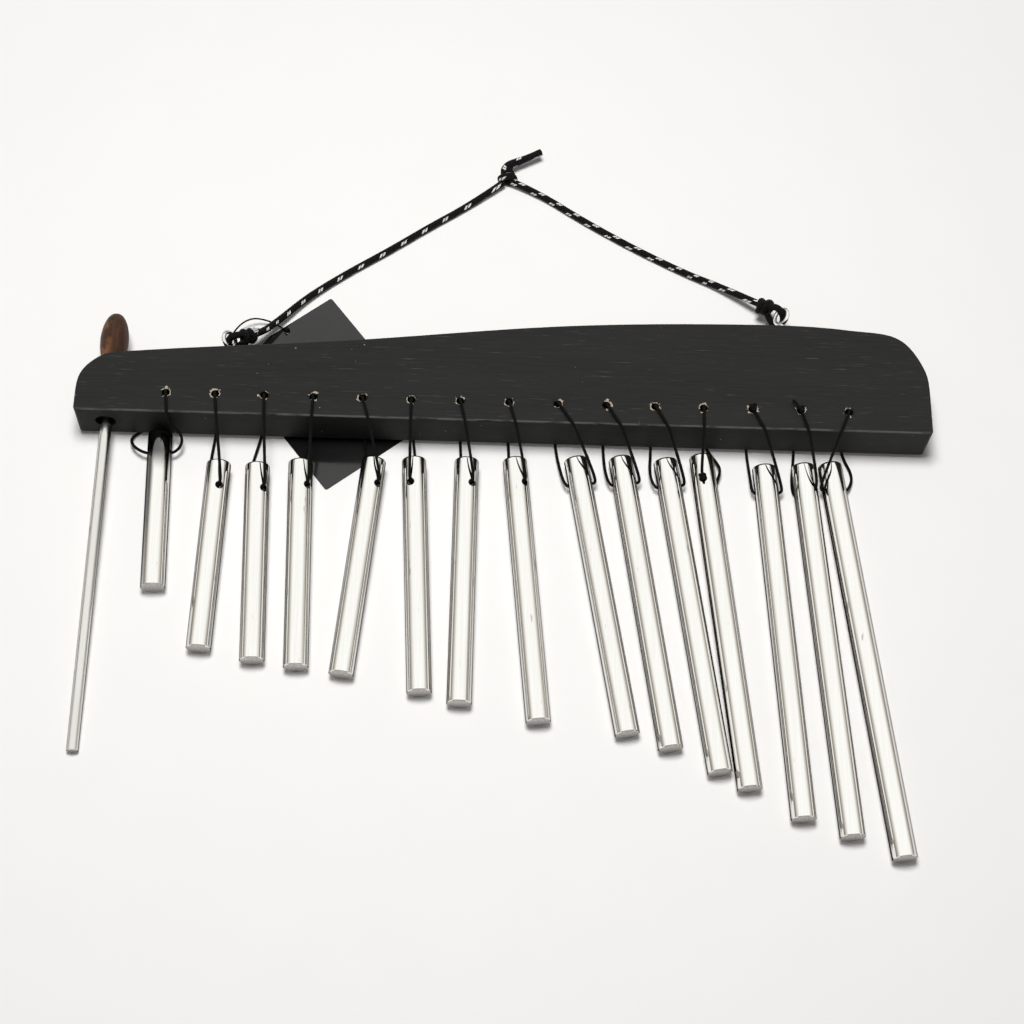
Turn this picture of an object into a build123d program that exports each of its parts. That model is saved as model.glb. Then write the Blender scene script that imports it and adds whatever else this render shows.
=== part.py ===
from build123d import *
import os
from math import cos, inf, radians, sin, tan

# Driving dimensions in millimetres and degrees.
# X runs along the bar from its left end, Y from its bottom edge towards its top edge,
# and Z up from the table that the set lies on.

# wooden bar
BAR_THICKNESS = 19.0
BAR_LIFT = 2.0
BAR_LOW_HEIGHT = 26.7
BAR_HIGH_HEIGHT = 47.0
BAR_BOTTOM_CORNER = 1.5
BAR_EDGE_ROUND = 0.8
LEFT_STRAIGHT = 5.9
LEFT_SHOULDER = 20.0
LEFT_ROUND_POINTS = [(2.5, 18.6), (8.8, 24.4)]
LEFT_SHOULDER_SLOPE = 0.11
TOP_EDGE_POINTS = [(111.0, 35.0), (182.0, 43.0)]
CREST_FROM_RIGHT = 71.5
RIGHT_SHOULDER = 31.5
RIGHT_SHOULDER_HEIGHT = 45.8
RIGHT_SHOULDER_SLOPE = -0.11
RIGHT_ROUND_POINTS = [(8.2, 40.2), (1.7, 29.4)]
RIGHT_STRAIGHT = 11.4

# row of thread holes
HOLE_FIRST = 35.1
HOLE_PITCH = 19.05
HOLE_LAST_INSET = 32.7
HOLE_HEIGHT = 8.65
HOLE_DIAMETER = 3.2
HOLE_CHIP_WIDTH = 0.6
HOLE_CHIP_DEPTH = 0.4

# chimes, shortest first, each lying where its thread lets it
CHIME_DIAMETER = 9.5
CHIME_TOP_ROUND = 0.9
CHIME_SAW_CHAMFER = 0.25
CROSS_HOLE_DIAMETER = 3.2
CHIME_LENGTHS = [66.0, 77.1, 80.6, 84.8, 89.3, 96.0, 100.5, 108.0, 114.9, 120.7, 129.0, 136.1, 143.6,
                 151.1, 160.1]
# cross hole below the top end; the first chime's top end is tucked up to the bar
CROSS_HOLE_DROPS = [8.7] + [11.2] * (len(CHIME_LENGTHS) - 1)
# top end across from its bar hole, and below the bar's bottom edge
CHIME_ACROSS = [-3.0, 2.0, -2.0, -4.4, 5.1, 1.6, 3.2, 2.9, 8.0, 6.5, 5.2, 0.2, 6.2, 2.5, -5.8]
CHIME_BELOW = [1.2, 14.4, 15.2, 13.2, 11.5, 10.9, 10.3, 9.6, 7.8, 6.9, 7.4, 5.8, 8.9, 7.9, 7.1]
# lean in the plane of the table, and turn of the cross hole to the right of facing up
CHIME_LEAN_ANGLES = [2.2, -1.8, 2.0, 1.8, -5.7, 3.0, -0.4, 5.4, 9.6, 8.4, 8.0, 6.2, 3.6, 4.3, 6.9]
CROSS_HOLE_ANGLES = [90, 20, 38, 40, 40, -20, 30, 40, 90, 90, 90, -15, 90, 50, -75]

# thread loops
THREAD_DIAMETER = 1.2
THREAD_GAP = 0.3
TABLE_GAP = 0.05
TAG_GAP = 0.1
THREAD_KNOT_RADIUS = 1.2
OUTSIDE_KNOT_RADIUS = 1.7
THREADS_OVER_TAG = [3, 4, 5, 6]
BAR_KNOT_CHIMES = [13, 14]
ROD_KNOT_CHIMES = [12]
FACING_LIMIT_ANGLE = 45.0
DOUBLE_TURN_ANGLE = 60.0
MOUTH_REACH = 1.5
FRONT_TURN_RISE = 2.0
FRONT_TURN_LIFT = 1.2
BACK_TURN_RISE = 7.0
BACK_TURN_DROP = 1.0
BACK_UNDER_RISE = 5.0
BACK_UNDER_SHARE = 0.6
# how far a strand bows past its cross hole's mouth, by chime
FRONT_BOWS = [3.0, 0, 0, 0, 0, 0, 0, 0, 0.5, 0.5, 0.5, 0, 0.3, 0, 0]
BACK_BOWS = [4.0, 0, 0, 0, 0, 0, 0, 0, 1.0, 1.0, 1.2, 5.8, 0, 0, 1.8]
BACK_EDGE_SHIFTS = [-11.5, 0, 0, 0, 0, 0, 0, 0, 0, 0, 0, 0, 0, 0, 0]
HOLE_BEND = 1.3
EDGE_BEND = 3.0
MOUTH_BEND = 1.6
BOW_BEND = 8.0

# beater
BEATER_X = 11.4
BEATER_DRIFT = 1.0
BEATER_HOLE_DIAMETER = 8.0
BEATER_ROD_DIAMETER = 4.5
BEATER_BELOW_BAR = 132.1
BEATER_END_ROUND = 0.5
BEATER_CLEARANCE = 0.1
HANDLE_LENGTH = 20.9
HANDLE_DIAMETER = 11.2
HANDLE_BELLY = 9.0
HANDLE_FOOT_DIAMETER = 8.4
HANDLE_FOOT_FLARE = 0.3
HANDLE_CROWN_DIAMETER = 6.0
HANDLE_CROWN_DROP = 1.5
HANDLE_TANG = 14.0
HANDLE_SEAT_GAP = 0.3
TANG_CLEARANCE = 0.01

# screw eyes
EYE_LEFT_INSET = 57.0
EYE_RIGHT_INSET = 55.9
EYE_LEFT_RISE = 7.7
EYE_RIGHT_RISE = 9.2
EYE_TURN_ANGLE = 50.0
EYE_WIRE_DIAMETER = 1.8
EYE_RING_DIAMETER = 6.6
EYE_RING_SWEEP = 335.0
SCREW_DEPTH = 9.0
PILOT_CLEARANCE = 0.01

# hanging cord, runs lying on the table
CORD_DIAMETER = 2.8
TAIL_DIAMETER = 3.2
CORD_RING_GAP = 0.9
LOOP_SPREAD = 1.0
LOOP_TAIL = 2.2
KNOT_RADIUS = 3.1
LEFT_KNOT = (64.0, 41.0, 9.4)
RIGHT_KNOT = (272.2, 63.3, 8.0)
APEX = (167.0, 124.0, 3.6)
APEX_KNOT_RADIUS = 3.6
APEX_KNOT_LENGTH = 8.0
APEX_KNOT_ROUND = 2.9
LEFT_RUN = [(69.1, 44.6, 6.6), (75.3, 51.9, 4.1), (86.0, 64.2, 2.2), (101.2, 76.4, 1.45), (118.4, 88.1, 1.45),
            (135.0, 100.5, 1.45), (151.5, 111.8, 1.45), (165.2, 122.7, 2.9)]
RIGHT_RUN = [(168.8, 123.4, 2.9), (180.5, 118.6, 1.45), (198.0, 106.3, 1.45), (220.1, 92.8, 1.45),
             (242.4, 81.0, 1.45), (256.4, 74.8, 2.4)]
TAIL_RUN = [(165.6, 127.0, 3.2), (166.6, 131.4, 3.4), (171.4, 134.8, 3.8), (176.2, 136.7, 4.3),
            (180.3, 139.1, 4.8)]

# card tag and its string
TAG_LENGTH = 70.0
TAG_WIDTH = 52.0
TAG_THICKNESS = 0.4
TAG_CENTRE = (96.7, 21.7)
TAG_TURN = -52.0
TAG_CORNER = 1.0
TAG_HOLE_DIAMETER = 2.0
TAG_HOLE_INSET = 2.4
TAG_HOLE_ASIDE = 2.5
STRING_DIAMETER = 0.7
STRING_RING_DIAMETER = 3.4
STRING_RING_RISE = 1.7
STRING_KNOT_RADIUS = 0.9
STRING_RUN = [(54.6, 36.0, 3.6), (56.0, 42.8, 4.4), (59.6, 48.6, 5.0), (62.8, 51.2, 5.0), (66.1, 52.4, 4.5),
              (69.8, 52.5, 3.0), (73.0, 52.1, 1.7)]

CHIME_COUNT = len(CHIME_LENGTHS)
BAR_LENGTH = HOLE_FIRST + HOLE_PITCH * (CHIME_COUNT - 1) + HOLE_LAST_INSET
BAR_MIDDLE = BAR_LIFT + BAR_THICKNESS / 2
BAR_FRONT = BAR_LIFT + BAR_THICKNESS
CHIME_RADIUS = CHIME_DIAMETER / 2
THREAD_RADIUS = THREAD_DIAMETER / 2
CORD_RADIUS = CORD_DIAMETER / 2
STRAND_OUT = THREAD_RADIUS + THREAD_GAP
UP = Vector(0, 0, 1)
# share of the shorter run that an arc may take at each end
RUN_SHARE = 0.45


def turn_radii(points, rooms):
    """Largest bend at each inner point that its runs and its room allow."""
    radii = []
    for before, here, after, room in zip(points, points[1:], points[2:], rooms):
        arriving = here - before
        leaving = after - here
        half = radians(arriving.get_angle(leaving)) / 2
        shorter = min(arriving.length, leaving.length)
        radii.append(min(room, RUN_SHARE * shorter / tan(half)))
    return radii


def tube(points, diameter, rooms):
    """Round tube along straight runs joined by tangent arcs."""
    path = FilletPolyline(*points, radius=turn_radii(points, rooms))
    return sweep((path ^ 0) * Circle(diameter / 2), path=path)


def free_tube(name, points, diameter):
    """Tube of a limp cord; its smallest bend is printed."""
    points = [Vector(*p) for p in points]
    rooms = [inf] * (len(points) - 2)
    radii = turn_radii(points, rooms)
    print(name, "smallest bend", round(min(radii), 1), "radii", [round(r, 1) for r in radii])
    return tube(points, diameter, rooms)


def top_edge():
    """Flowing top edge between the two shoulders."""
    start = (LEFT_SHOULDER, BAR_LOW_HEIGHT)
    crest = (BAR_LENGTH - CREST_FROM_RIGHT, BAR_HIGH_HEIGHT)
    end = (BAR_LENGTH - RIGHT_SHOULDER, RIGHT_SHOULDER_HEIGHT)
    tangents = [(1, LEFT_SHOULDER_SLOPE), (1, RIGHT_SHOULDER_SLOPE)]
    return Spline(start, *TOP_EDGE_POINTS, crest, end, tangents=tangents)


def height_at(curve, x):
    """Height of a left-to-right curve over a place along the bar."""
    low, high = 0.0, 1.0
    for _ in range(40):
        middle = (low + high) / 2
        if (curve @ middle).X < x:
            low = middle
        else:
            high = middle
    return (curve @ low).Y


def left_round():
    """Rounded left end, from the straight side up to the shoulder."""
    side = (0, LEFT_STRAIGHT)
    shoulder = (LEFT_SHOULDER, BAR_LOW_HEIGHT)
    return Spline(side, *LEFT_ROUND_POINTS, shoulder, tangents=[(0, 1), (1, LEFT_SHOULDER_SLOPE)])


def right_round():
    """Rounded right end, from the shoulder down to the straight side."""
    shoulder = (BAR_LENGTH - RIGHT_SHOULDER, RIGHT_SHOULDER_HEIGHT)
    side = (BAR_LENGTH, RIGHT_STRAIGHT)
    middle = [(BAR_LENGTH - inset, height) for inset, height in RIGHT_ROUND_POINTS]
    return Spline(shoulder, *middle, side, tangents=[(1, RIGHT_SHOULDER_SLOPE), (0, -1)])


def hole_x(number):
    return HOLE_FIRST + HOLE_PITCH * (number - 1)


def eye_centres():
    """Ring centres of the left and right screw eyes."""
    edge = top_edge()
    places = ((EYE_LEFT_INSET, EYE_LEFT_RISE), (BAR_LENGTH - EYE_RIGHT_INSET, EYE_RIGHT_RISE))
    return [Vector(x, height_at(edge, x) + rise, BAR_MIDDLE) for x, rise in places]


def ring_sides(sign):
    """Directions across a screw eye's ring to its held side, and along the ring's axis."""
    turn = radians(EYE_TURN_ANGLE)
    return Vector(sign * cos(turn), 0, -sin(turn)), Vector(sign * sin(turn), 0, cos(turn))


def chipped_hole():
    """Through hole for a thread with its chipped rims, centred on the bar's mid plane."""
    radius = HOLE_DIAMETER / 2
    cutter = Cylinder(radius, BAR_THICKNESS + 2)
    rim = Cone(radius, radius + HOLE_CHIP_WIDTH, HOLE_CHIP_DEPTH,
               align=(Align.CENTER, Align.CENTER, Align.MAX))
    front = Pos(0, 0, BAR_THICKNESS / 2) * rim
    return cutter + front + front.rotate(Axis.X, 180)


def beater_frame():
    """Plane at the beater hole's lower mouth, with its Z up along the beater."""
    rod_radius = BEATER_ROD_DIAMETER / 2
    mouth_z = BAR_MIDDLE - BEATER_HOLE_DIAMETER / 2 + rod_radius + BEATER_CLEARANCE
    mouth = Vector(BEATER_X, 0, mouth_z)
    low_end = Vector(BEATER_X - BEATER_DRIFT, -BEATER_BELOW_BAR, rod_radius)
    return Plane(origin=mouth, x_dir=(1, 0, 0), z_dir=mouth - low_end)


def make_bar():
    corner = BAR_BOTTOM_CORNER
    outline = [
        Line((BAR_LENGTH - corner, 0), (corner, 0)),
        CenterArc((corner, corner), corner, 270, -90),
        Line((0, corner), (0, LEFT_STRAIGHT)),
        left_round(),
        top_edge(),
        right_round(),
        Line((BAR_LENGTH, RIGHT_STRAIGHT), (BAR_LENGTH, corner)),
        CenterArc((BAR_LENGTH - corner, corner), corner, 0, -90),
    ]
    bar = extrude(Plane.XY.offset(BAR_LIFT) * make_face(outline), BAR_THICKNESS)
    faces = bar.faces().sort_by(Axis.Z)
    bar = fillet(faces[0].edges() + faces[-1].edges(), BAR_EDGE_ROUND)
    cutter = chipped_hole()
    holes = [Pos(hole_x(n), HOLE_HEIGHT, BAR_MIDDLE) * cutter for n in range(1, CHIME_COUNT + 1)]
    beater_hole = Pos(BEATER_X, 0, BAR_MIDDLE) * Rot(90, 0, 0) * Cylinder(
        BEATER_HOLE_DIAMETER / 2, 4 * BAR_LOW_HEIGHT)
    pilot_radius = EYE_WIRE_DIAMETER / 2 + PILOT_CLEARANCE
    pilots = []
    for centre, rise in zip(eye_centres(), (EYE_LEFT_RISE, EYE_RIGHT_RISE)):
        floor = Vector(centre.X, centre.Y - rise - SCREW_DEPTH, centre.Z)
        bore = Plane(origin=floor, z_dir=(0, 1, 0))
        pilots.append(Solid.make_cylinder(pilot_radius, rise + SCREW_DEPTH, bore))
    return bar - holes - beater_hole - pilots


def make_eye(centre, rise, sign):
    """Bent wire ring on its screw shank; the sign is the way to the other eye."""
    wire = EYE_WIRE_DIAMETER / 2
    ring_radius = EYE_RING_DIAMETER / 2
    plane = Plane(origin=centre, x_dir=(0, -1, 0), z_dir=ring_sides(sign)[1])
    arc = plane * CenterArc((0, 0), ring_radius, 0, EYE_RING_SWEEP)
    ring = sweep((arc ^ 0) * Circle(wire), path=arc)
    root = arc @ 0
    depth = root.Y - (centre.Y - rise - SCREW_DEPTH)
    shank = Solid.make_cylinder(wire, depth, Plane(origin=root, z_dir=(0, -1, 0)))
    return ring + shank + Pos(*root) * Sphere(wire)


class Hung:
    """Where one chime lies: its axis, its cross hole and the thread's strands."""

    def __init__(self, number):
        length = CHIME_LENGTHS[number - 1]
        lean = radians(CHIME_LEAN_ANGLES[number - 1])
        turn = CROSS_HOLE_ANGLES[number - 1]
        over_tag = number in THREADS_OVER_TAG
        self.number = number
        self.length = length
        self.turn = turn
        self.facing = abs(turn) < FACING_LIMIT_ANGLE
        under = TAG_THICKNESS + TAG_GAP if over_tag else TABLE_GAP
        self.low = under + THREAD_RADIUS
        lift = self.low + STRAND_OUT if self.facing else 0.0
        self.drop = CROSS_HOLE_DROPS[number - 1]
        slope = lift / (length - self.drop)
        flat = Vector(sin(lean), -cos(lean), 0)
        self.down = (flat - UP * slope).normalized()
        self.right = Vector(cos(lean), sin(lean), 0)
        self.lifted = self.down.cross(self.right)
        self.out = self.right * sin(radians(turn)) + self.lifted * cos(radians(turn))
        top_x = hole_x(number) + CHIME_ACROSS[number - 1]
        self.top = Vector(top_x, -CHIME_BELOW[number - 1], CHIME_RADIUS + slope * length)
        self.cross = self.top + self.down * self.drop

    def location(self):
        return Plane(origin=self.top, x_dir=self.out, z_dir=self.down * -1).location

    def route(self):
        """Points of the thread loop from the middle of the bar hole round and back."""
        n = self.number
        up_rod = self.down * -1
        hole = Vector(hole_x(n), HOLE_HEIGHT, BAR_MIDDLE)
        front = Vector(hole.X, hole.Y, BAR_FRONT + STRAND_OUT)
        back = Vector(hole.X, hole.Y, self.low)
        reach = CHIME_RADIUS + MOUTH_REACH
        entry = [self.cross + self.out * reach]
        rooms = [MOUTH_BEND]
        if abs(self.turn) > DOUBLE_TURN_ANGLE:
            wide = self.out * (reach + FRONT_BOWS[n - 1])
            entry.insert(0, self.cross + wide + up_rod * FRONT_TURN_RISE + self.lifted * FRONT_TURN_LIFT)
            rooms.insert(0, MOUTH_BEND)
        over = (HOLE_HEIGHT + STRAND_OUT) / (HOLE_HEIGHT - entry[0].Y)
        edge = Vector(hole.X + (entry[0].X - hole.X) * over, -STRAND_OUT, front.Z)
        if self.facing:
            leave = self.cross - self.out * (CHIME_RADIUS + STRAND_OUT)
            side = (leave - self.cross).dot(self.right)
            aside = BACK_BOWS[n - 1] or side * BACK_UNDER_SHARE
            bow = self.cross + self.right * aside + up_rod * BACK_UNDER_RISE
            exits = [leave, Vector(bow.X, bow.Y, self.low)]
        else:
            leave = self.cross - self.out * reach
            wide = self.out * (reach + BACK_BOWS[n - 1])
            bow = self.cross - wide + up_rod * BACK_TURN_RISE - self.lifted * BACK_TURN_DROP
            bow = Vector(bow.X, bow.Y, max(bow.Z, self.low))
            exits = [leave, bow, Vector(hole.X + BACK_EDGE_SHIFTS[n - 1], -STRAND_OUT, self.low)]
        points = [hole, front, edge] + entry + exits + [back, hole]
        rooms = [HOLE_BEND, EDGE_BEND] + rooms + [MOUTH_BEND] + [BOW_BEND] * (len(exits) - 1) + [HOLE_BEND]
        return points, rooms


def make_chime(hung):
    rod = Cylinder(CHIME_RADIUS, hung.length, align=(Align.CENTER, Align.CENTER, Align.MAX))
    ends = rod.edges().filter_by(GeomType.CIRCLE).sort_by(Axis.Z)
    rod = fillet(ends[-1], CHIME_TOP_ROUND)
    ends = rod.edges().filter_by(GeomType.CIRCLE).sort_by(Axis.Z)
    rod = chamfer(ends[0], CHIME_SAW_CHAMFER)
    cross = Rot(0, 90, 0) * Cylinder(CROSS_HOLE_DIAMETER / 2, 2 * CHIME_DIAMETER)
    rod = rod - Pos(0, 0, -hung.drop) * cross
    return hung.location() * rod


def make_thread(hung):
    points, rooms = hung.route()
    split = THREAD_KNOT_RADIUS / 2
    loop = tube([points[0] + UP * split] + points[1:-1] + [points[-1] - UP * split], THREAD_DIAMETER, rooms)
    loop = loop + Pos(*points[0]) * Sphere(THREAD_KNOT_RADIUS)
    if hung.number in BAR_KNOT_CHIMES:
        outside = points[1] + UP * (OUTSIDE_KNOT_RADIUS - THREAD_RADIUS)
        loop = loop + Pos(*outside) * Sphere(OUTSIDE_KNOT_RADIUS)
    if hung.number in ROD_KNOT_CHIMES:
        outside = hung.cross + hung.out * (CHIME_RADIUS + THREAD_GAP + OUTSIDE_KNOT_RADIUS)
        loop = loop + Pos(*outside) * Sphere(OUTSIDE_KNOT_RADIUS)
    return loop


def make_beater():
    """Rod and handle, with the handle's foot just above the bar's rounded end."""
    plane = beater_frame()
    radius = BEATER_ROD_DIAMETER / 2
    foot_x = BEATER_X + HANDLE_FOOT_DIAMETER / 2
    foot = height_at(left_round(), foot_x) + HANDLE_SEAT_GAP
    tang = foot + HANDLE_TANG
    rod = Pos(0, 0, tang) * Cylinder(radius, tang + BEATER_BELOW_BAR,
                                     align=(Align.CENTER, Align.CENTER, Align.MAX))
    low_rim = rod.edges().filter_by(GeomType.CIRCLE).sort_by(Axis.Z)[0]
    rod = fillet(low_rim, BEATER_END_ROUND)
    foot_radius = HANDLE_FOOT_DIAMETER / 2
    crown_radius = HANDLE_CROWN_DIAMETER / 2
    crown = (crown_radius, HANDLE_LENGTH - HANDLE_CROWN_DROP)
    side = Spline((foot_radius, 0), (HANDLE_DIAMETER / 2, HANDLE_BELLY), crown, (0, HANDLE_LENGTH),
                  tangents=[(HANDLE_FOOT_FLARE, 1), (-1, 0)])
    profile = make_face([Line((0, 0), (foot_radius, 0)), side, Line((0, HANDLE_LENGTH), (0, 0))])
    handle = revolve(Plane.XZ * profile, Axis.Z)
    bore = Cylinder(radius + TANG_CLEARANCE, HANDLE_TANG, align=(Align.CENTER, Align.CENTER, Align.MIN))
    handle = Pos(0, 0, foot) * (handle - bore)
    return plane.location * rod, plane.location * handle


def make_ring_knot(centre, knot, sign):
    """Cord loop round the held side of a screw eye's ring, with its knot."""
    across, axis = ring_sides(sign)
    held = centre + across * (EYE_RING_DIAMETER / 2)
    clear = EYE_WIRE_DIAMETER / 2 + CORD_RING_GAP + CORD_RADIUS
    near = held + axis * clear + Vector(0, LOOP_SPREAD, 0)
    far = held - axis * clear - Vector(0, LOOP_SPREAD, 0)
    knot = Vector(*knot)
    points = [knot, near - across * clear, far - across * clear, far + across * LOOP_TAIL, knot - UP]
    loop = tube(points, CORD_DIAMETER, [BOW_BEND] * 3)
    return loop + Plane(origin=knot, z_dir=across).location * Sphere(KNOT_RADIUS)


def make_apex_knot():
    core = Cylinder(APEX_KNOT_RADIUS, APEX_KNOT_LENGTH)
    core = fillet(core.edges().filter_by(GeomType.CIRCLE), APEX_KNOT_ROUND)
    return Pos(*APEX) * Rot(0, 90, 0) * core


def make_tag():
    card = extrude(RectangleRounded(TAG_LENGTH, TAG_WIDTH, TAG_CORNER), TAG_THICKNESS)
    cutter = Cylinder(TAG_HOLE_DIAMETER / 2, 4 * TAG_THICKNESS)
    hole = Pos(TAG_HOLE_INSET - TAG_LENGTH / 2, TAG_HOLE_ASIDE, 0) * cutter
    return Pos(*TAG_CENTRE, 0) * Rot(0, 0, TAG_TURN) * (card - hole)


def string_ring_centre():
    """Middle of the string's small ring, round the left screw eye's shank."""
    return eye_centres()[0] + Vector(0, STRING_RING_RISE - EYE_LEFT_RISE, 0)


def make_string():
    """Tag string: a small ring round the left eye's shank, then down to the tag's hole."""
    ring_radius = STRING_RING_DIAMETER / 2
    start = string_ring_centre()
    ring = Plane(origin=start, z_dir=(0, 1, 0)).location * Torus(ring_radius, STRING_DIAMETER / 2)
    turn = radians(TAG_TURN)
    reach = TAG_LENGTH / 2 - TAG_HOLE_INSET
    hole_x_shift = -reach * cos(turn) - TAG_HOLE_ASIDE * sin(turn)
    hole_y_shift = TAG_HOLE_ASIDE * cos(turn) - reach * sin(turn)
    over = TAG_THICKNESS + TAG_GAP + STRING_KNOT_RADIUS
    knot = Vector(TAG_CENTRE[0] + hole_x_shift, TAG_CENTRE[1] + hole_y_shift, over)
    points = [start - UP * ring_radius] + [Vector(*p) for p in STRING_RUN] + [knot]
    return ring + free_tube("tag_string", points, STRING_DIAMETER) + Pos(*knot) * Sphere(STRING_KNOT_RADIUS)


eyes = eye_centres()
eye_line = (eyes[1] - eyes[0]).normalized()
beater_rod, beater_handle = make_beater()

nodes = {
    "bar": make_bar(),
    "screw_eye_left": make_eye(eyes[0], EYE_LEFT_RISE, 1),
    "screw_eye_right": make_eye(eyes[1], EYE_RIGHT_RISE, -1),
    "beater_rod": beater_rod,
    "beater_handle": beater_handle,
    "hang_tag": make_tag(),
}
for chime_number in range(1, CHIME_COUNT + 1):
    hung_chime = Hung(chime_number)
    nodes[f"chime_{chime_number:02d}"] = make_chime(hung_chime)
    nodes[f"thread_{chime_number:02d}"] = make_thread(hung_chime)

cords = {
    "cord_left": free_tube("cord_left", [LEFT_KNOT] + LEFT_RUN, CORD_DIAMETER),
    "cord_right": free_tube("cord_right", RIGHT_RUN + [RIGHT_KNOT], CORD_DIAMETER),
    "cord_tail": free_tube("cord_tail", TAIL_RUN, TAIL_DIAMETER),
    "knot_left": make_ring_knot(eyes[0], LEFT_KNOT, 1),
    "knot_right": make_ring_knot(eyes[1], RIGHT_KNOT, -1),
    "knot_apex": make_apex_knot(),
    "tag_string": make_string(),
}

boxes = [shape.bounding_box() for shape in nodes.values()]
middle_x = (min(box.min.X for box in boxes) + max(box.max.X for box in boxes)) / 2
middle_y = (min(box.min.Y for box in boxes) + max(box.max.Y for box in boxes)) / 2
to_centre = Pos(-middle_x, -middle_y, 0)
print("centre of the hard pieces", round(middle_x, 3), round(middle_y, 3))

os.makedirs("parts", exist_ok=True)
for name, shape in {**nodes, **cords}.items():
    export_step(to_centre * shape, f"parts/{name}.step")
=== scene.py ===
import math

import bpy
from mathutils import Matrix, Vector


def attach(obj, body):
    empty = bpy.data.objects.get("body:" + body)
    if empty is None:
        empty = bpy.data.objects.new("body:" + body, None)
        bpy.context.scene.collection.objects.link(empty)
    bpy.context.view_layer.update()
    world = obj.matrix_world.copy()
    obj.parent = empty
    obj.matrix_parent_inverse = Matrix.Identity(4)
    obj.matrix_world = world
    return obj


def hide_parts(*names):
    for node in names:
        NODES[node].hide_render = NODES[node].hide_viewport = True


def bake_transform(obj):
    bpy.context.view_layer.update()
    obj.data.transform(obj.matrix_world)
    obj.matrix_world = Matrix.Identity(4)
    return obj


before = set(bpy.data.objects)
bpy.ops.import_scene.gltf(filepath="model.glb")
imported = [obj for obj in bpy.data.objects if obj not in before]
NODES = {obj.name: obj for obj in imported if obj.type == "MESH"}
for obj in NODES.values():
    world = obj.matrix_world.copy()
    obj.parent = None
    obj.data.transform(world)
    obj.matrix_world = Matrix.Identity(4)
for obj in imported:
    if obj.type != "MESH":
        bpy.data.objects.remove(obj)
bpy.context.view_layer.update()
scene = bpy.context.scene
scene.view_settings.view_transform = "Standard"

# Sizes of the solids, in millimetres from the bar's lower left corner and the table; turns in degrees.
MIDDLE_X, MIDDLE_Y = 167.252, -50.849
BAR_LIFT, BAR_THICKNESS = 2.0, 19.0
BAR_FRONT = BAR_LIFT + BAR_THICKNESS
BAR_MIDDLE = BAR_LIFT + BAR_THICKNESS / 2
HOLE_FIRST, HOLE_PITCH, HOLE_HEIGHT = 35.1, 19.05, 8.65
CHIME_RADIUS = 4.75
CHIME_LENGTHS = [66.0, 77.1, 80.6, 84.8, 89.3, 96.0, 100.5, 108.0, 114.9, 120.7, 129.0, 136.1, 143.6,
                 151.1, 160.1]
CHIME_COUNT = len(CHIME_LENGTHS)
CHIME_ACROSS = [-3.0, 2.0, -2.0, -4.4, 5.1, 1.6, 3.2, 2.9, 8.0, 6.5, 5.2, 0.2, 6.2, 2.5, -5.8]
CHIME_BELOW = [1.2, 14.4, 15.2, 13.2, 11.5, 10.9, 10.3, 9.6, 7.8, 6.9, 7.4, 5.8, 8.9, 7.9, 7.1]
CHIME_LEAN = [2.2, -1.8, 2.0, 1.8, -5.7, 3.0, -0.4, 5.4, 9.6, 8.4, 8.0, 6.2, 3.6, 4.3, 6.9]
CROSS_TURN = [90, 20, 38, 40, 40, -20, 30, 40, 90, 90, 90, -15, 90, 50, -75]
CROSS_DROPS = [8.7] + [11.2] * (CHIME_COUNT - 1)
HANDLE_MIDDLE = 11.4
UP = Vector((0, 0, 1))


def row(point):
    """A point in millimetres from the bar's corner, in the model's frame in metres."""
    return Vector(((point[0] - MIDDLE_X) / 1000, (point[1] - MIDDLE_Y) / 1000, point[2] / 1000))


# Shader helpers.
def new_material(name):
    material = bpy.data.materials.new(name)
    material.use_nodes = True
    tree = material.node_tree
    shader = tree.nodes["Principled BSDF"]
    return material, tree, shader


def put(tree, socket, value):
    """Links another socket to this one, or sets a plain value."""
    if isinstance(value, bpy.types.NodeSocket):
        tree.links.new(value, socket)
    else:
        socket.default_value = value


def node(tree, kind, settings=None, **inputs):
    made = tree.nodes.new(kind)
    for key, value in (settings or {}).items():
        setattr(made, key, value)
    for key, value in inputs.items():
        put(tree, made.inputs[key.replace("_", " ")], value)
    return made


def calc(tree, operation, first, second=0.0, third=0.0):
    made = tree.nodes.new("ShaderNodeMath")
    made.operation = operation
    put(tree, made.inputs[0], first)
    put(tree, made.inputs[1], second)
    put(tree, made.inputs[2], third)
    return made.outputs[0]


def place(tree, scale=(1, 1, 1), turn=(0, 0, 0)):
    """The piece's own coordinates, in metres when the scale is 1."""
    coords = tree.nodes.new("ShaderNodeTexCoord").outputs["Object"]
    mapped = node(tree, "ShaderNodeMapping", Vector=coords, Scale=scale, Rotation=turn)
    return mapped.outputs[0]


def place_parts(tree):
    """The piece's own X, Y and Z, in metres."""
    return node(tree, "ShaderNodeSeparateXYZ", Vector=place(tree)).outputs


def facing_parts(tree, output):
    """The parts of a surface's own direction, fixed to the piece."""
    normal = tree.nodes.new("ShaderNodeNewGeometry").outputs[output]
    turned = node(tree, "ShaderNodeVectorTransform", {"vector_type": "NORMAL", "convert_from": "WORLD",
                                                     "convert_to": "OBJECT"}, Vector=normal).outputs[0]
    return node(tree, "ShaderNodeSeparateXYZ", Vector=turned).outputs


def cord_parts(tree):
    """Places along and round a cord, each from 0 to 1."""
    coords = tree.nodes.new("ShaderNodeTexCoord").outputs["UV"]
    return node(tree, "ShaderNodeSeparateXYZ", Vector=coords).outputs[:2]


def noise(tree, scale, detail, rough, turn=(0, 0, 0)):
    """Cloudy noise from 0 to 1; scale is how fine it is along X, Y and Z."""
    made = node(tree, "ShaderNodeTexNoise", Vector=place(tree, scale, turn), Scale=1.0, Detail=detail,
                Roughness=rough)
    return made.outputs[0]


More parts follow.
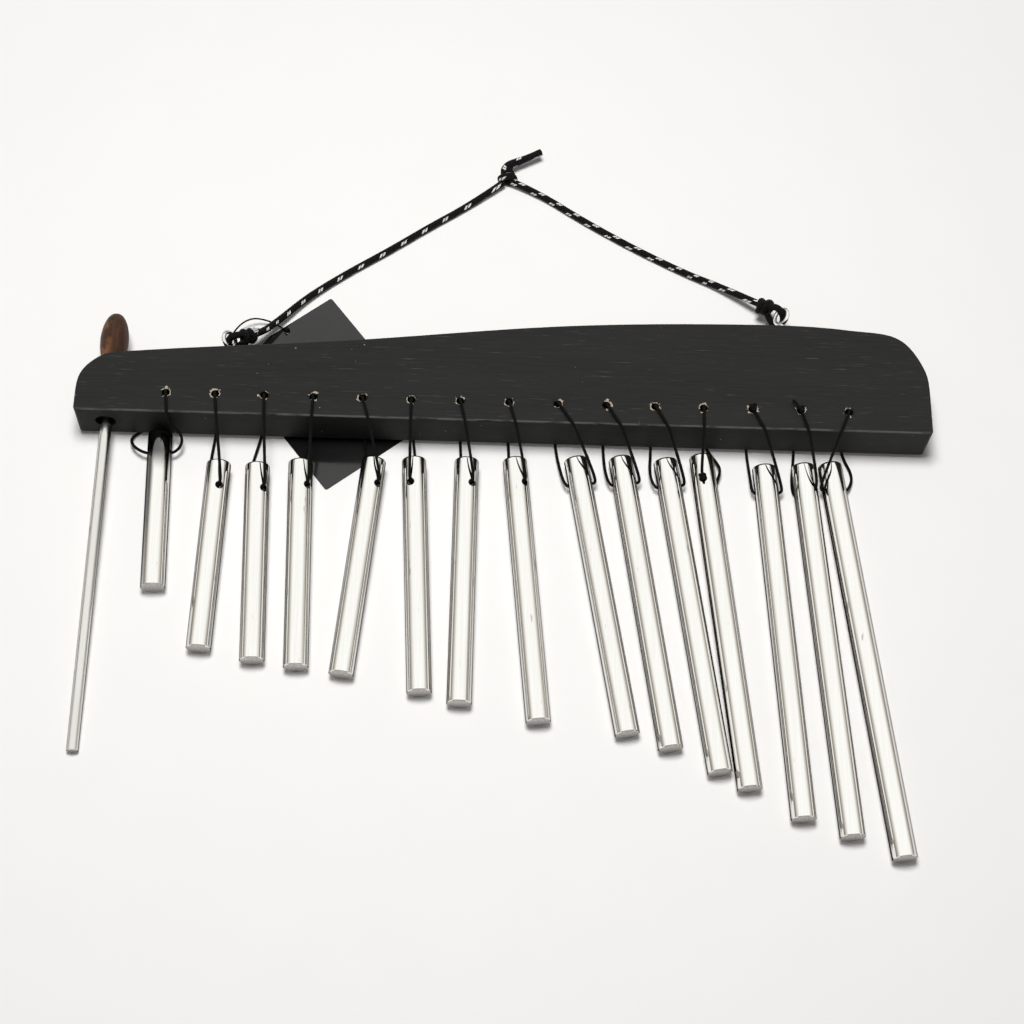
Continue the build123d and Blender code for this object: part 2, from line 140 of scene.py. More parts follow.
def ramp(tree, value, low, high, bottom=0.0, top=1.0):
    """Smooth step from bottom, where the value is low, to top, where it is high."""
    made = node(tree, "ShaderNodeMapRange", {"interpolation_type": "SMOOTHSTEP"}, Value=value)
    for socket, number in zip(made.inputs[1:5], (low, high, bottom, top)):
        socket.default_value = number
    return made.outputs[0]


def mix(tree, factor, first, second):
    made = tree.nodes.new("ShaderNodeMix")
    made.data_type = "RGBA"
    put(tree, made.inputs["Factor"], factor)
    put(tree, made.inputs["A"], first)
    put(tree, made.inputs["B"], second)
    return made.outputs["Result"]


def bump(tree, height, strength, distance):
    made = node(tree, "ShaderNodeBump", Height=height, Strength=strength, Distance=distance)
    return made.outputs[0]


def grey(level, warm=0.0):
    return (level * (1 + warm), level, level * (1 - warm), 1.0)


# Bar of black stained wood; the wear's places are in metres.
EDGE_WEAR_OUTER, EDGE_WEAR_INNER = 0.0009, 0.0004
CHIP_LEAST, CHIP_SPREAD, CHIP_SOFTNESS, CHIP_DEPTH = 0.0001, 0.0039, 0.00012, 0.0012
CHIP_ROW_HALF_HEIGHT, CHIP_ROW_HALF_LENGTH = 0.004, 0.1352
BARE_WOOD = (0.56, 0.48, 0.38, 1)


def bar_worn_edge(tree, where):
    """Where the corner between the front face and the bottom edge is rubbed."""
    bottom, front = row((0, 0, BAR_FRONT))[1:]
    above = calc(tree, "ABSOLUTE", calc(tree, "SUBTRACT", where[1], bottom))
    behind = calc(tree, "ABSOLUTE", calc(tree, "SUBTRACT", where[2], front))
    near = ramp(tree, calc(tree, "ADD", above, behind), EDGE_WEAR_OUTER, EDGE_WEAR_INNER)
    ragged = noise(tree, (120, 700, 700), 3.0, 0.6)
    return calc(tree, "MULTIPLY", near, ramp(tree, ragged, 0.30, 0.56))


def bar_chipped_rims(tree, where):
    """Where the stain is chipped off round the holes in the front face."""
    first, height, front = row((HOLE_FIRST, HOLE_HEIGHT, BAR_FRONT))
    pitch = HOLE_PITCH / 1000
    along = calc(tree, "DIVIDE", calc(tree, "SUBTRACT", where[0], first), pitch)
    along = calc(tree, "SUBTRACT", along, calc(tree, "ROUND", along))
    along = calc(tree, "MULTIPLY", along, pitch)
    across = calc(tree, "SUBTRACT", where[1], height)
    radius = calc(tree, "SQRT", calc(tree, "ADD", calc(tree, "MULTIPLY", along, along),
                                     calc(tree, "MULTIPLY", across, across)))
    chip = noise(tree, (520, 520, 520), 3.0, 0.7)
    reach = calc(tree, "MULTIPLY_ADD", chip, CHIP_SPREAD, CHIP_LEAST)
    bare = ramp(tree, calc(tree, "SUBTRACT", reach, radius), 0.0, CHIP_SOFTNESS)
    broken = noise(tree, (330, 330, 330), 1.0, 0.5)
    bare = calc(tree, "MULTIPLY", bare, ramp(tree, broken, 0.43, 0.50))
    near_row = calc(tree, "LESS_THAN", calc(tree, "ABSOLUTE", across), CHIP_ROW_HALF_HEIGHT)
    inside_row = calc(tree, "LESS_THAN", calc(tree, "ABSOLUTE", where[0]), CHIP_ROW_HALF_LENGTH)
    on_face = calc(tree, "GREATER_THAN", where[2], front - CHIP_DEPTH)
    for limit in (near_row, inside_row, on_face):
        bare = calc(tree, "MULTIPLY", bare, limit)
    return bare


def bar_material():
    """Fine grain along the bar, pale specks, a worn edge and chipped hole rims."""
    material, tree, shader = new_material("bar_black_stain")
    where = place_parts(tree)
    grain = noise(tree, (70, 1500, 1500), 5.0, 0.7)
    coarse = noise(tree, (9, 110, 110), 3.0, 0.5)
    streak = noise(tree, (95, 2300, 2300), 2.0, 0.5)
    specks = noise(tree, (560, 760, 560), 1.0, 0.5)
    colour = mix(tree, ramp(tree, grain, 0.35, 0.68), grey(0.0055), grey(0.0145, 0.01))
    colour = mix(tree, ramp(tree, coarse, 0.35, 0.7, 0.0, 0.3), colour, grey(0.017))
    colour = mix(tree, ramp(tree, streak, 0.64, 0.80, 0.0, 0.7), colour, grey(0.085))
    colour = mix(tree, ramp(tree, specks, 0.80, 0.83, 0.0, 0.7), colour, grey(0.30, 0.05))
    colour = mix(tree, calc(tree, "MULTIPLY", bar_worn_edge(tree, where), 0.75), colour, grey(0.13, 0.04))
    colour = mix(tree, calc(tree, "MULTIPLY", bar_chipped_rims(tree, where), 0.9), colour, BARE_WOOD)
    put(tree, shader.inputs["Base Color"], colour)
    put(tree, shader.inputs["Roughness"], ramp(tree, grain, 0.25, 0.8, 0.5, 0.68))
    flat = calc(tree, "ABSOLUTE", facing_parts(tree, "True Normal")[2])
    put(tree, shader.inputs["Specular IOR Level"], ramp(tree, flat, 0.3, 0.8, 0.13, 0.31))
    height = calc(tree, "ADD", grain, calc(tree, "MULTIPLY", streak, 0.6))
    put(tree, shader.inputs["Normal"], bump(tree, height, 0.35, 0.00012))
    return material


# Metal rods; the painted dark reflection of the bar on the first chime's top, and the darkening of its left
# side, are measured in metres from its top and its middle.
DARKENING_MIDDLE = 34.2
DARKENING_TOP_START, DARKENING_TOP_END = 0.019, 0.009
DARKENING_SIDE_START, DARKENING_SIDE_END = 0.0022, 0.0045


def bar_reflection_and_dark_side(tree, where, film):
    """Where the first chime gets a painted dark reflection of the bar at its top and is darker down its left
    side.
    """
    middle, top = row((DARKENING_MIDDLE, -CHIME_BELOW[0], 0))[:2]
    upper = ramp(tree, where[1], top - DARKENING_TOP_START, top - DARKENING_TOP_END)
    side = ramp(tree, where[0], middle - DARKENING_SIDE_START, middle - DARKENING_SIDE_END)
    darkening = calc(tree, "MAXIMUM", upper, calc(tree, "MULTIPLY", side, 0.85))
    return calc(tree, "MULTIPLY", darkening, ramp(tree, film, 0.2, 0.6, 0.8, 1.0))


def rod_material(name, base, gloss, haze, seed, dark_top_and_side=0.0):
    """Draw lines along the rod, dark scuffs, painted shade on the sides, dull sawn ends with painted shade
    towards the table and, if asked, a painted dark reflection of the bar.
    """
    material, tree, shader = new_material(name)
    where = place_parts(tree)
    lines = noise(tree, (1500, 9, 1500), 3.0, 0.6)
    scuffs = noise(tree, (420 + seed, 90, 420), 2.0, 0.5)
    film = noise(tree, (60, 22, 60), 3.0, 0.5)
    saw = noise(tree, (2600, 200, 420), 3.0, 0.6, turn=(0, 0.5, 0))
    ends = ramp(tree, calc(tree, "ABSOLUTE", facing_parts(tree, "True Normal")[1]), 0.93, 0.97)
    # Painted shade: where the surface faces sideways, the rod's colour is darkened to stand in for the
    # shadowed floor that its edges reflect.
    painted_side_shade = ramp(tree, calc(tree, "ABSOLUTE", facing_parts(tree, "Normal")[2]), 0.40, 0.08)
    drawn = (base * 0.96, base * 0.95, base * 0.905, 1)
    clean = (base * 1.004, base, base * 0.98, 1)
    colour = mix(tree, ramp(tree, lines, 0.35, 0.7), drawn, clean)
    colour = mix(tree, ramp(tree, scuffs, 0.70, 0.76, 0.0, 0.6), colour, grey(base * 0.35, 0.03))
    # Painted shade darkens the rod's sides.
    colour = mix(tree, calc(tree, "MULTIPLY", painted_side_shade, 0.92), colour, grey(0.05, 0.08))
    # Painted dark reflection of the bar on the first chime's top; its left side is darkened too.
    if dark_top_and_side:
        darkening = calc(tree, "MULTIPLY", bar_reflection_and_dark_side(tree, where, film), dark_top_and_side)
        colour = mix(tree, darkening, colour, grey(0.03, 0.02))
    sawn_end_and_shade = mix(tree, ramp(tree, saw, 0.3, 0.7), grey(0.58, 0.03), grey(0.84, 0.03))
    # Painted shade: the sawn ends darken towards the table, where the floor in front of them lies in shadow.
    sawn_end_and_shade = mix(tree, ramp(tree, where[2], 0.008, 0.0005, 0.0, 0.6), sawn_end_and_shade, grey(0.08, 0.03))
    put(tree, shader.inputs["Base Color"], mix(tree, ends, colour, sawn_end_and_shade))
    rough = calc(tree, "ADD", ramp(tree, lines, 0.3, 0.8, gloss, gloss + 0.05),
                 ramp(tree, film, 0.45, 0.75, 0.0, haze))
    rough = calc(tree, "ADD", rough, ramp(tree, scuffs, 0.66, 0.76, 0.0, 0.2))
    put(tree, shader.inputs["Roughness"], calc(tree, "ADD", rough, calc(tree, "MULTIPLY", ends, 0.42)))
    put(tree, shader.inputs["Metallic"], calc(tree, "MULTIPLY_ADD", ends, -0.75, 1.0))
    shader.inputs["Specular Tint"].default_value = grey(0.03)
    height = calc(tree, "ADD", calc(tree, "MULTIPLY", lines, 0.25),
                  calc(tree, "MULTIPLY", calc(tree, "MULTIPLY", saw, ends), 3.0))
    put(tree, shader.inputs["Normal"], bump(tree, height, 0.12, 0.00008))
    return material


# Screw eyes, handle and card.
def zinc_material():
    """Bright plated wire with a faint grain and small dull spots."""
    material, tree, shader = new_material("eye_bright_zinc")
    grain = noise(tree, (900, 900, 900), 3.0, 0.6)
    spots = noise(tree, (260, 260, 260), 2.0, 0.5)
    colour = mix(tree, ramp(tree, spots, 0.5, 0.75), grey(0.88, 0.015), grey(0.68, 0.04))
    put(tree, shader.inputs["Base Color"], colour)
    put(tree, shader.inputs["Roughness"], ramp(tree, grain, 0.3, 0.7, 0.14, 0.30))
    shader.inputs["Metallic"].default_value = 1.0
    put(tree, shader.inputs["Normal"], bump(tree, grain, 0.15, 0.00006))
    return material


def handle_material():
    """Dark reddish-brown turned wood, mottled lighter on its left side, with a wax sheen."""
    material, tree, shader = new_material("handle_dark_wood")
    dark, brown, pale_brown = (0.026, 0.012, 0.007, 1), (0.060, 0.026, 0.014, 1), (0.28, 0.125, 0.062, 1)
    grain = noise(tree, (700, 60, 700), 4.0, 0.6)
    mottle = noise(tree, (190, 120, 190), 4.0, 0.6)
    middle = row((HANDLE_MIDDLE, 0, 0))[0]
    left = ramp(tree, place_parts(tree)[0], middle + 0.0015, middle - 0.003)
    patches = calc(tree, "MULTIPLY", ramp(tree, mottle, 0.44, 0.64), left)
    colour = mix(tree, ramp(tree, grain, 0.3, 0.7), dark, brown)
    # Lighter mottled patches, on the handle's left side only.
    colour = mix(tree, calc(tree, "MULTIPLY", patches, 0.85), colour, pale_brown)
    put(tree, shader.inputs["Base Color"], colour)
    put(tree, shader.inputs["Roughness"], ramp(tree, mottle, 0.3, 0.7, 0.42, 0.6))
    shader.inputs["Specular IOR Level"].default_value = 0.27
    put(tree, shader.inputs["Normal"], bump(tree, grain, 0.2, 0.0001))
    return material


def card_material():
    """Glossy black card with fine dust, faint waves and slightly rubbed gloss."""
    material, tree, shader = new_material("tag_black_card")
    dust = noise(tree, (1400, 1400, 1400), 3.0, 0.7)
    cloud = noise(tree, (45, 45, 45), 3.0, 0.5)
    wave = noise(tree, (24, 24, 24), 1.0, 0.5)
    colour = mix(tree, ramp(tree, cloud, 0.3, 0.7), grey(0.006), grey(0.012))
    colour = mix(tree, ramp(tree, dust, 0.70, 0.78, 0.0, 0.4), colour, grey(0.10))
    put(tree, shader.inputs["Base Color"], colour)
    put(tree, shader.inputs["Roughness"], ramp(tree, cloud, 0.3, 0.7, 0.06, 0.14))
    shader.inputs["IOR"].default_value = 1.58
    put(tree, shader.inputs["Normal"], bump(tree, wave, 0.2, 0.0004))
    return material


# Fibre and braid; braid lengths are in millimetres of cord, and flecks lie in shares of their pitch.
FIBRE_SHEEN = 0.14
BRAID_LAY, BRAID_TURNS = 4.2, 4
FLECK_PITCH, FLECK_PAIR, FLECK_SHIFTS, FLECK_SLANT = 9.6, (0.43, 0.57), (0.0, 0.36, 0.70), 0.9


def fibre_material(name, dark, light, lay):
    """Spun fibre; lay is the number of twists from one end of a strand to the other."""
    material, tree, shader = new_material(name)
    along, around = cord_parts(tree)
    fuzz = noise(tree, (2400, 2400, 2400), 3.0, 0.7)
    twist = calc(tree, "MULTIPLY_ADD", along, lay, calc(tree, "MULTIPLY", around, 2.0))
    wave = calc(tree, "SINE", calc(tree, "MULTIPLY", twist, 2 * math.pi))
    strand = calc(tree, "MULTIPLY_ADD", wave, 0.5, 0.5)
    colour = mix(tree, calc(tree, "MULTIPLY", strand, fuzz), grey(dark), grey(light))
    put(tree, shader.inputs["Base Color"], colour)
    put(tree, shader.inputs["Roughness"], ramp(tree, fuzz, 0.3, 0.7, 0.62, 0.85))
    shader.inputs["Specular IOR Level"].default_value = FIBRE_SHEEN
    height = calc(tree, "ADD", strand, calc(tree, "MULTIPLY", fuzz, 0.5))
    put(tree, shader.inputs["Normal"], bump(tree, height, 0.5, 0.0002))
    return material


def braid_flecks(tree, along, around, tracers):
    """Where pairs of pale dashes lie, in one row along the cord for each tracer."""
    fleck = 0.0
    for turn_at, shift in zip(tracers, FLECK_SHIFTS):
        turned = calc(tree, "FRACT", calc(tree, "ADD", around, 1.5 - turn_at))
        aside = calc(tree, "SUBTRACT", turned, 0.5)
        narrow = ramp(tree, calc(tree, "ABSOLUTE", aside), 0.074, 0.056)
        cell = calc(tree, "FRACT", calc(tree, "MULTIPLY_ADD", along, 1 / FLECK_PITCH, shift))
        cell = calc(tree, "MULTIPLY_ADD", aside, FLECK_SLANT, cell)
        for middle in FLECK_PAIR:
            away = calc(tree, "ABSOLUTE", calc(tree, "SUBTRACT", cell, middle))
            dash = ramp(tree, away, 0.056, 0.044)
            fleck = calc(tree, "MAXIMUM", fleck, calc(tree, "MULTIPLY", narrow, dash))
    return fleck


def braid_material(name, length, tracers):
    """Black braid; length is the cord's own, in metres, and tracers are the fleck rows' places round it."""
    material, tree, shader = new_material(name)
    share, around = cord_parts(tree)
    along = calc(tree, "MULTIPLY", share, length * 1000)
    lays = []
    for hand in (1, -1):
        turned = calc(tree, "MULTIPLY", around, hand * BRAID_TURNS * 2 * math.pi)
        lays.append(calc(tree, "SINE", calc(tree, "MULTIPLY_ADD", along, BRAID_LAY, turned)))
    weave = calc(tree, "MAXIMUM", *lays)
    fuzz = noise(tree, (2600, 2600, 2600), 3.0, 0.7)
    lit = calc(tree, "MULTIPLY", ramp(tree, weave, -0.2, 1.0), fuzz)
    colour = mix(tree, lit, grey(0.003), grey(0.013))
    if tracers:
        fleck = braid_flecks(tree, along, around, tracers)
        frayed = calc(tree, "MULTIPLY", fleck, ramp(tree, fuzz, 0.30, 0.45, 0.5, 1.0))
        colour = mix(tree, frayed, colour, grey(0.82, 0.02))
    put(tree, shader.inputs["Base Color"], colour)
    put(tree, shader.inputs["Roughness"], ramp(tree, fuzz, 0.3, 0.7, 0.6, 0.85))
    shader.inputs["Specular IOR Level"].default_value = FIBRE_SHEEN
    height = calc(tree, "ADD", weave, calc(tree, "MULTIPLY", fuzz, 0.4))
    put(tree, shader.inputs["Normal"], bump(tree, height, 0.6, 0.00025))
    return material


# Curve helpers.
def curve_object(name, routes, radius, closed=False, sides=4, steps=6, shares=None):
    """Round cord on smooth splines with the routes' points, in millimetres, as control points.

    Shares of the radius at the points make it thicker or thinner.
    """
    data = bpy.data.curves.new(name, "CURVE")
    data.dimensions = "3D"
    data.bevel_depth = radius / 1000
    data.bevel_resolution = sides
    data.resolution_u = steps
    data.use_fill_caps = True
    for points in routes:
        spline = data.splines.new("NURBS")
        spline.points.add(len(points) - 1)
        for control, point in zip(spline.points, points):
            control.co = (*row(point), 1.0)
        for control, share in zip(spline.points, shares or ()):
            control.radius = share
        spline.order_u = 3
        if closed:
            spline.use_cyclic_u = True
        else:
            spline.use_endpoint_u = True
    made = bpy.data.objects.new(name, data)
    scene.collection.objects.link(made)
    return made


def as_mesh(curve):
    """The curve's tube as a mesh object under the same name."""
    depsgraph = bpy.context.evaluated_depsgraph_get()
    mesh = bpy.data.meshes.new_from_object(curve.evaluated_get(depsgraph), depsgraph=depsgraph)
    name = curve.name
    bpy.data.objects.remove(curve)
    made = bpy.data.objects.new(name, mesh)
    scene.collection.objects.link(made)
    for face in mesh.polygons:
        face.use_smooth = True
    return made


def dress(made, material):
    made.data.materials.clear()
    made.data.materials.append(material)


def paint(name, material):
    """Gives a CAD node its material."""
    target = NODES[name]
    if not target.material_slots:
        target.data.materials.append(material)
    for each in target.material_slots:
        each.material = material


# Camera, fitted to the photograph: place in bar millimetres, turns in degrees, focal length in pixels.
CAMERA_PLACE = (146.6, -375.1, 737.0)
CAMERA_AZIMUTH, CAMERA_ELEVATION, CAMERA_ROLL = 4.004, 64.785, 5.209
FOCAL_PIXELS, IMAGE_PIXELS, SENSOR_WIDTH = 2081.8, 1024, 36.0


def photo_camera():
    azimuth, elevation, roll = (math.radians(a) for a in (CAMERA_AZIMUTH, CAMERA_ELEVATION, CAMERA_ROLL))
    level = math.cos(elevation)
    back = Vector((-math.sin(azimuth) * level, -math.cos(azimuth) * level, math.sin(elevation)))
    right = Vector((math.cos(azimuth), -math.sin(azimuth), 0))
    above = back.cross(right)
    rolled_right = right * math.cos(roll) + above * math.sin(roll)
    rolled_above = above * math.cos(roll) - right * math.sin(roll)
    data = bpy.data.cameras.new("camera")
    data.sensor_width = SENSOR_WIDTH
    data.lens = FOCAL_PIXELS / IMAGE_PIXELS * SENSOR_WIDTH
    data.clip_start = 0.01
    camera = bpy.data.objects.new("camera", data)
    scene.collection.objects.link(camera)
    turn = Matrix((rolled_right, rolled_above, back)).transposed().to_4x4()
    camera.matrix_world = Matrix.Translation(row(CAMERA_PLACE)) @ turn
    scene.camera = camera


photo_camera()

# Hanging cord: routes and radii in bar millimetres, cord lengths and diameter in metres.
CORD_RADIUS, CORD_DIAMETER = 1.4, 0.0028
LEFT_LENGTH, RIGHT_LENGTH, TAIL_LENGTH = 0.132, 0.121, 0.022
LEFT_LOOP_LENGTH, RIGHT_LOOP_LENGTH = 0.030, 0.032
LEFT_WRAP_LENGTH, RIGHT_WRAP_LENGTH, APEX_WRAP_LENGTH, APEX_CROSS_LENGTH = 0.015, 0.016, 0.016, 0.009
KNOT_LEFT = (64.0, 41.0, 9.4)
KNOT_RIGHT = (272.2, 63.3, 8.0)
APEX = Vector((167.0, 124.0, 3.6))
LEFT_RUN = [KNOT_LEFT, (69.1, 44.6, 6.6), (75.3, 51.9, 4.1), (86.0, 64.2, 2.2), (101.2, 76.4, 1.45),
            (118.4, 88.1, 1.45), (135.0, 100.5, 1.45), (151.5, 111.8, 1.45), (165.2, 122.7, 2.9)]
RIGHT_RUN = [(168.8, 123.4, 2.9), (180.5, 118.6, 1.45), (198.0, 106.3, 1.45), (220.1, 92.8, 1.45),
             (242.4, 81.0, 1.45), (256.4, 74.8, 2.4), KNOT_RIGHT]
TAIL_RUN = [(166.6, 124.6, 3.8), (165.6, 127.0, 4.3), (166.8, 130.1, 4.4), (171.2, 132.4, 4.6),
            (176.0, 134.6, 4.7), (180.9, 137.4, 4.8)]
TAIL_RADIUS, TAIL_SHARES = 2.1, (0.95, 1.0, 0.95, 0.78, 0.68, 0.72)
LEFT_LOOP = [(64.0, 40.6, 9.6), (61.6, 40.2, 12.2), (59.6, 39.2, 13.3), (57.2, 38.4, 12.6),
             (56.3, 37.6, 10.0), (56.9, 37.0, 7.3), (59.6, 37.8, 5.9), (62.4, 39.6, 7.4), (64.2, 40.9, 8.8)]
RIGHT_LOOP = [(272.4, 62.6, 9.0), (274.6, 60.9, 11.4), (276.4, 59.6, 13.6), (278.2, 57.6, 13.8),
              (279.6, 56.2, 10.8), (279.4, 54.8, 7.6), (276.8, 55.4, 5.0), (274.0, 59.0, 6.6),
              (272.8, 61.6, 8.2)]
APEX_CROSS = [(169.0, 122.8, 3.4), (169.0, 125.2, 5.0), (167.6, 127.8, 4.6), (167.4, 130.2, 4.2)]
APEX_CROSS_RADIUS = 1.35
# Wraps of the knots: middle, axis, ring radius and start in degrees.
LEFT_WRAPS = [((62.6, 40.4, 9.9), (0.85, 0.42, -0.3), 2.4, 15),
              ((65.2, 41.6, 9.0), (0.80, 0.52, -0.3), 2.2, 40)]
RIGHT_WRAPS = [((273.4, 62.2, 8.6), (-0.62, 0.74, -0.2), 2.6, 15),
               ((271.0, 63.2, 8.0), (-0.85, 0.45, -0.2), 2.3, 40)]
APEX_WRAP = (APEX + Vector((-0.1, 0.1, 0)), (0.02, 1, 0), 2.5, 0)
APEX_WRAP_RADIUS, APEX_WRAP_STRETCH = 1.45, 1.3
RING_POINTS, RING_SLANT = 6, 0.6
# Places of the fleck rows round each cord, as shares of a turn.
LEFT_TRACERS, RIGHT_TRACERS = (0.265, 0.595, 0.925), (0.965, 0.185, 0.575)
APEX_TRACERS = (0.10, 0.43, 0.76)
# Frayed end at the left knot: the fibres share a root, and each spreads by X and Y to its own tip height.
FRAY_ROOT, FRAY_MIDDLE, FRAY_TIP = (64.8, 41.4, 11.2), (66.0, 42.0, 11.8), (67.6, 42.9)
FRAY_SPREADS = [(0.0, 0.0, 12.2), (-0.5, 0.6, 11.7), (0.5, -0.5, 11.6), (-0.9, 0.9, 12.0), (0.8, 0.4, 12.4),
                (0.1, 0.9, 11.2)]
FRAY_RADIUS = 0.36


def ring_of(middle, axis, size, start):
    """Control points of one wrap of cord round an axis."""
    axis = Vector(axis).normalized()
    side = axis.cross(UP).normalized()
    rise = side.cross(axis)
    angles = [math.radians(start + 360 / RING_POINTS * k) for k in range(RING_POINTS)]
    return [Vector(middle) + (side * math.cos(a) + rise * math.sin(a)) * size
            + axis * RING_SLANT * math.sin(2 * a) for a in angles]


def rings_of(wraps):
    return [ring_of(*wrap) for wrap in wraps]


def stretched(points, middle, share):
    """The points with their distance from the middle along X scaled."""
    return [Vector((middle.x + (point.x - middle.x) * share, point.y, point.z)) for point in points]


def fray_route(aside, across, tip_height):
    return [FRAY_ROOT, (FRAY_MIDDLE[0] + aside, FRAY_MIDDLE[1] + across, FRAY_MIDDLE[2]),
            (FRAY_TIP[0] + aside, FRAY_TIP[1] + across, tip_height)]


def cord_piece(name, routes, length, radius=CORD_RADIUS, closed=False, tracers=(), shares=None):
    """One braided piece of the hanging cord."""
    made = curve_object(name, routes, radius, closed=closed, shares=shares)
    dress(made, braid_material("braid_" + name, length, tracers))
    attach(made, "hanger")
    return made


cord_left = cord_piece("cord_left_braid", [LEFT_RUN], LEFT_LENGTH, tracers=LEFT_TRACERS)
cord_right = cord_piece("cord_right_braid", [RIGHT_RUN[::-1]], RIGHT_LENGTH, tracers=RIGHT_TRACERS)
tail = cord_piece("cord_tail_braid", [TAIL_RUN], TAIL_LENGTH, TAIL_RADIUS, tracers=APEX_TRACERS,
                  shares=TAIL_SHARES)
left_loop = cord_piece("knot_left_loop", [LEFT_LOOP], LEFT_LOOP_LENGTH)
right_loop = cord_piece("knot_right_loop", [RIGHT_LOOP], RIGHT_LOOP_LENGTH)
left_wraps = cord_piece("knot_left_wraps", rings_of(LEFT_WRAPS), LEFT_WRAP_LENGTH, closed=True)
right_wraps = cord_piece("knot_right_wraps", rings_of(RIGHT_WRAPS), RIGHT_WRAP_LENGTH, closed=True)
apex_wrap = cord_piece("knot_apex_wrap", [stretched(ring_of(*APEX_WRAP), APEX, APEX_WRAP_STRETCH)],
                       APEX_WRAP_LENGTH, APEX_WRAP_RADIUS, closed=True, tracers=APEX_TRACERS)
apex_cross = cord_piece("knot_apex_cross", [APEX_CROSS], APEX_CROSS_LENGTH, APEX_CROSS_RADIUS)
fray_routes = [fray_route(*spread) for spread in FRAY_SPREADS]
left_end = curve_object("cord_end_left", fray_routes, FRAY_RADIUS, sides=2)
dress(left_end, fibre_material("cord_end_fray", 0.45, 0.92, lay=900))
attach(left_end, "hanger")
for made, replaced in ((cord_left, "cord_left"), (cord_right, "cord_right"), (tail, "cord_tail"),
                       (left_loop, "knot_left"), (right_loop, "knot_right"), (apex_wrap, "knot_apex")):
    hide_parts(replaced)

# Tag string in the same units, with its knot at the card's hole.
STRING_RUN = [(57.0, 31.98, 9.8), (54.6, 36.0, 3.6), (56.0, 42.8, 4.4), (59.6, 48.6, 5.0),
              (62.8, 51.2, 5.0), (66.1, 52.4, 4.5), (69.8, 52.5, 3.0), (73.0, 52.1, 1.7), (78.6, 48.93, 1.0)]
STRING_RADIUS, STRING_DIAMETER, STRING_LENGTH = 0.35, 0.0007, 0.043
STRING_WRAPS = [((78.6, 48.93, 1.2), (0.5, -0.8, 0.2), 0.9, 0), ((78.2, 49.4, 1.3), (0.9, 0.3, 0.1), 0.8, 30)]
STRING_WRAP_RADIUS = 0.45

thread_fibre = fibre_material("thread_black", 0.003, 0.012, lay=400)
string = curve_object("tag_string_line", [STRING_RUN], STRING_RADIUS, sides=3)
dress(string, thread_fibre)
string_knot = curve_object("tag_string_knot", rings_of(STRING_WRAPS), STRING_WRAP_RADIUS, closed=True,
                           sides=2)
dress(string_knot, thread_fibre)
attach(string_knot, "tag")
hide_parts("tag_string")
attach(string, "tag")

# Thread loops, in bar millimetres and degrees.
THREAD_RADIUS, STRAND_OUT = 0.6, 0.9
TABLE_GAP, TAG_GAP, OVER_TAG = 0.05, 0.5, (3, 4, 5, 6)
# A cross hole turned less than the first angle faces up; past the second, its strand has an extra bend.
FACING_LIMIT, BEND_LIMIT = 45, 60
# Points of a strand into a hole that faces up: how far past the rod's surface, and how far above the hole.
FACING_ENTRY = [(0.7, 3.4), (0.6, 1.3), (-0.9, 0.8)]
MOUTH_REACH, MOUTH_INSET = 1.0, 2.5
FRONT_BEND_RISE, FRONT_BEND_LIFT = 2.0, 1.2
UNDER_BEND_RISE, UNDER_BEND_SHARE, BACK_BEND_RISE = 5.0, 0.6, 7.0
FRONT_BOWS = [0, 0, 0, 0, 0, 0, 0, 0, 0.5, 0.5, 0.5, 0, 0.3, 0, 0]
BACK_BOWS = [0, -4.8, -5.0, 0, 0, 0, 0, 0, 1.0, 1.0, 1.2, 0, 0, 0, 4.2]
BOWED_ENTRIES = {1: [(36.2, -0.95, 14.0), (40.6, -2.6, 8.4), (41.2, -6.4, 5.8)]}
BOWED_EXITS = {1: [(21.9, -7.2, 4.4), (20.2, -2.5, 1.9), (22.8, 0.6, 0.66)],
               12: [(251.0, -16.0, 1.6), (251.5, -14.3, 2.6), (252.9, -10.0, 3.5), (251.8, -6.2, 2.2),
                    (248.6, -1.0, 0.75)]}
CORNER_EASE, EDGE_EASE, EDGE_CUT, DROP_EASE = 1.8, 2.4, 0.25, 2.6
# Knots: each size is a share of a trefoil's own, with its distance above the bar or out from the rod.
BAR_KNOTS, BAR_KNOT_LIFT = {13: 0.46, 14: 0.34}, 0.9
ROD_KNOTS, ROD_KNOT_OUT = {12: 0.42}, 1.9
KNOT_POINTS, KNOT_RADIUS = 18, 0.55
SPARE_RUN = [(281.8, 8.6, 22.4), (281.1, 10.2, 23.2), (280.4, 11.4, 22.6), (279.9, 12.6, 21.7)]
SPARE_RADIUS = 0.5


